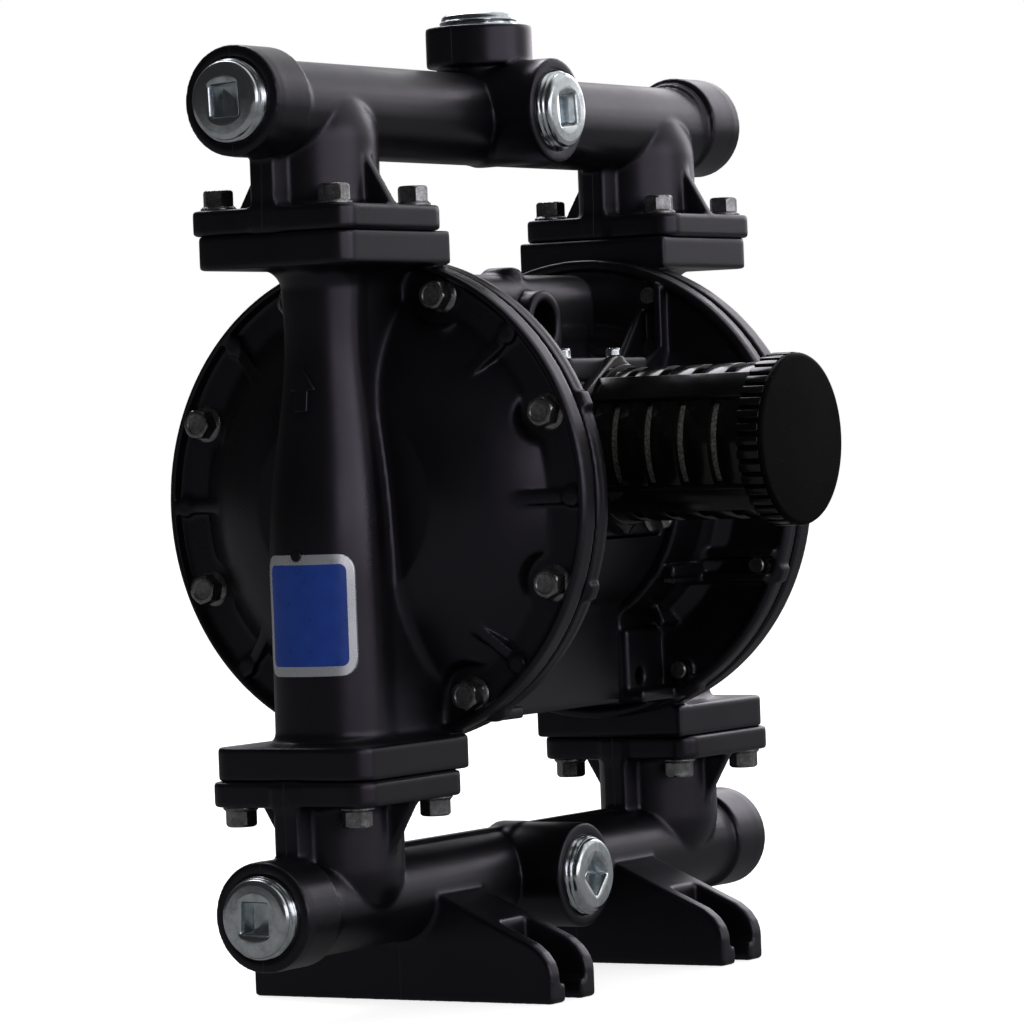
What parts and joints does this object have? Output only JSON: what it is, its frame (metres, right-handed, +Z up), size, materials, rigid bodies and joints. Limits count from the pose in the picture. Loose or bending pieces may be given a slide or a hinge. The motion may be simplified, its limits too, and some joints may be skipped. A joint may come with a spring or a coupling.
{
  "type": "air operated double diaphragm pump",
  "caption": "Air operated double diaphragm pump: moulded fluid covers and manifolds with one inch threaded ports, bolted air section with muffler, and slotted feet",
  "frame": {"origin": "On the floor, at the middle of the four foot slots, under the middle of the pump", "axes": "+X along the diaphragm shaft and manifolds towards the open ports, -Y towards the muffler, +Z up"},
  "size_m": [0.3814, 0.2474, 0.4069],
  "materials": {
    "black_plastic": "satin moulded polypropylene, faint purple grey sheen",
    "gloss_black": "glossy black moulding",
    "filter_grey": "porous grey element",
    "dark_steel": "dark grey plated steel",
    "zinc_plate": "bright zinc plating",
    "seal_rubber": "black elastomer",
    "ball_rubber": "off-white elastomer",
    "seat_plastic": "off-white plastic",
    "bush_plastic": "acetal",
    "shaft_steel": "ground stainless steel",
    "plate_alloy": "cast aluminium",
    "plate_plastic": "black plastic"
  },
  "bodies": {
    "pump": {"center_housing": "black_plastic", "outlet_manifold": "black_plastic", "inlet_manifold": "black_plastic", "air_valve_body": "black_plastic", "fluid_cover_left": "black_plastic", "fluid_cover_right": "black_plastic", "air_cover_left": "black_plastic", "air_cover_right": "black_plastic", "air_valve_end_cap_left": "black_plastic", "air_valve_end_cap_right": "black_plastic", "muffler_base": "gloss_black", "muffler_cage": "gloss_black", "muffler_cap": "gloss_black", "muffler_element": "filter_grey", "outlet_manifold_bolts": "dark_steel", "inlet_manifold_bolts": "dark_steel", "cover_bolts_left": "dark_steel", "cover_bolts_right": "dark_steel", "air_cover_screws_left": "dark_steel", "air_cover_screws_right": "dark_steel", "outlet_end_plug": "zinc_plate", "outlet_top_plug": "zinc_plate", "outlet_front_plug": "zinc_plate", "inlet_end_plug": "zinc_plate", "inlet_front_plug": "zinc_plate", "air_valve_screws": "zinc_plate", "air_valve_top_screws": "zinc_plate", "outlet_seat_seals": "seal_rubber", "inlet_seat_seals": "seal_rubber", "shaft_seals": "seal_rubber", "air_valve_gasket": "seal_rubber", "diaphragm_left": "seal_rubber", "diaphragm_right": "seal_rubber", "outlet_seat_left": "seat_plastic", "outlet_seat_right": "seat_plastic", "inlet_seat_left": "seat_plastic", "inlet_seat_right": "seat_plastic", "shaft_bushes": "bush_plastic", "pilot_bush_left": "bush_plastic", "pilot_bush_right": "bush_plastic"},
    "shaft_assembly": {"diaphragm_shaft": "shaft_steel", "air_plate_left": "plate_alloy", "air_plate_right": "plate_alloy", "fluid_plate_left": "plate_plastic", "fluid_plate_right": "plate_plastic", "plate_bolt_left": "dark_steel", "plate_bolt_right": "dark_steel"},
    "spool": {"air_valve_spool": "bush_plastic"},
    "outlet_ball_left": {"outlet_ball_left": "ball_rubber"},
    "outlet_ball_right": {"outlet_ball_right": "ball_rubber"},
    "inlet_ball_left": {"inlet_ball_left": "ball_rubber"},
    "inlet_ball_right": {"inlet_ball_right": "ball_rubber"},
    "pilot_pin_left": {"pilot_pin_left": "shaft_steel"},
    "pilot_pin_right": {"pilot_pin_right": "shaft_steel"}
  },
  "joints": [
    {"name": "shaft_slide", "type": "slide", "parent": "pump", "child": "shaft_assembly", "axis": [1, 0, 0], "range_m": [-0.01, 0.01], "deforming": ["diaphragm_left", "diaphragm_right"]},
    {"name": "spool_slide", "type": "slide", "parent": "pump", "child": "spool", "axis": [1, 0, 0], "range_m": [-0.006, 0.006]},
    {"name": "outlet_ball_left_lift", "type": "slide", "parent": "pump", "child": "outlet_ball_left", "axis": [0, 0, 1], "range_m": [0, 0.007]},
    {"name": "outlet_ball_right_lift", "type": "slide", "parent": "pump", "child": "outlet_ball_right", "axis": [0, 0, 1], "range_m": [0, 0.007]},
    {"name": "inlet_ball_left_lift", "type": "slide", "parent": "pump", "child": "inlet_ball_left", "axis": [0, 0, 1], "range_m": [0, 0.007]},
    {"name": "inlet_ball_right_lift", "type": "slide", "parent": "pump", "child": "inlet_ball_right", "axis": [0, 0, 1], "range_m": [0, 0.007]},
    {"name": "pilot_pin_left_slide", "type": "slide", "parent": "pump", "child": "pilot_pin_left", "axis": [1, 0, 0], "range_m": [0, 0.004], "stiffness_N_per_m": 150},
    {"name": "pilot_pin_right_slide", "type": "slide", "parent": "pump", "child": "pilot_pin_right", "axis": [-1, 0, 0], "range_m": [0, 0.004], "stiffness_N_per_m": 150}
  ]
}
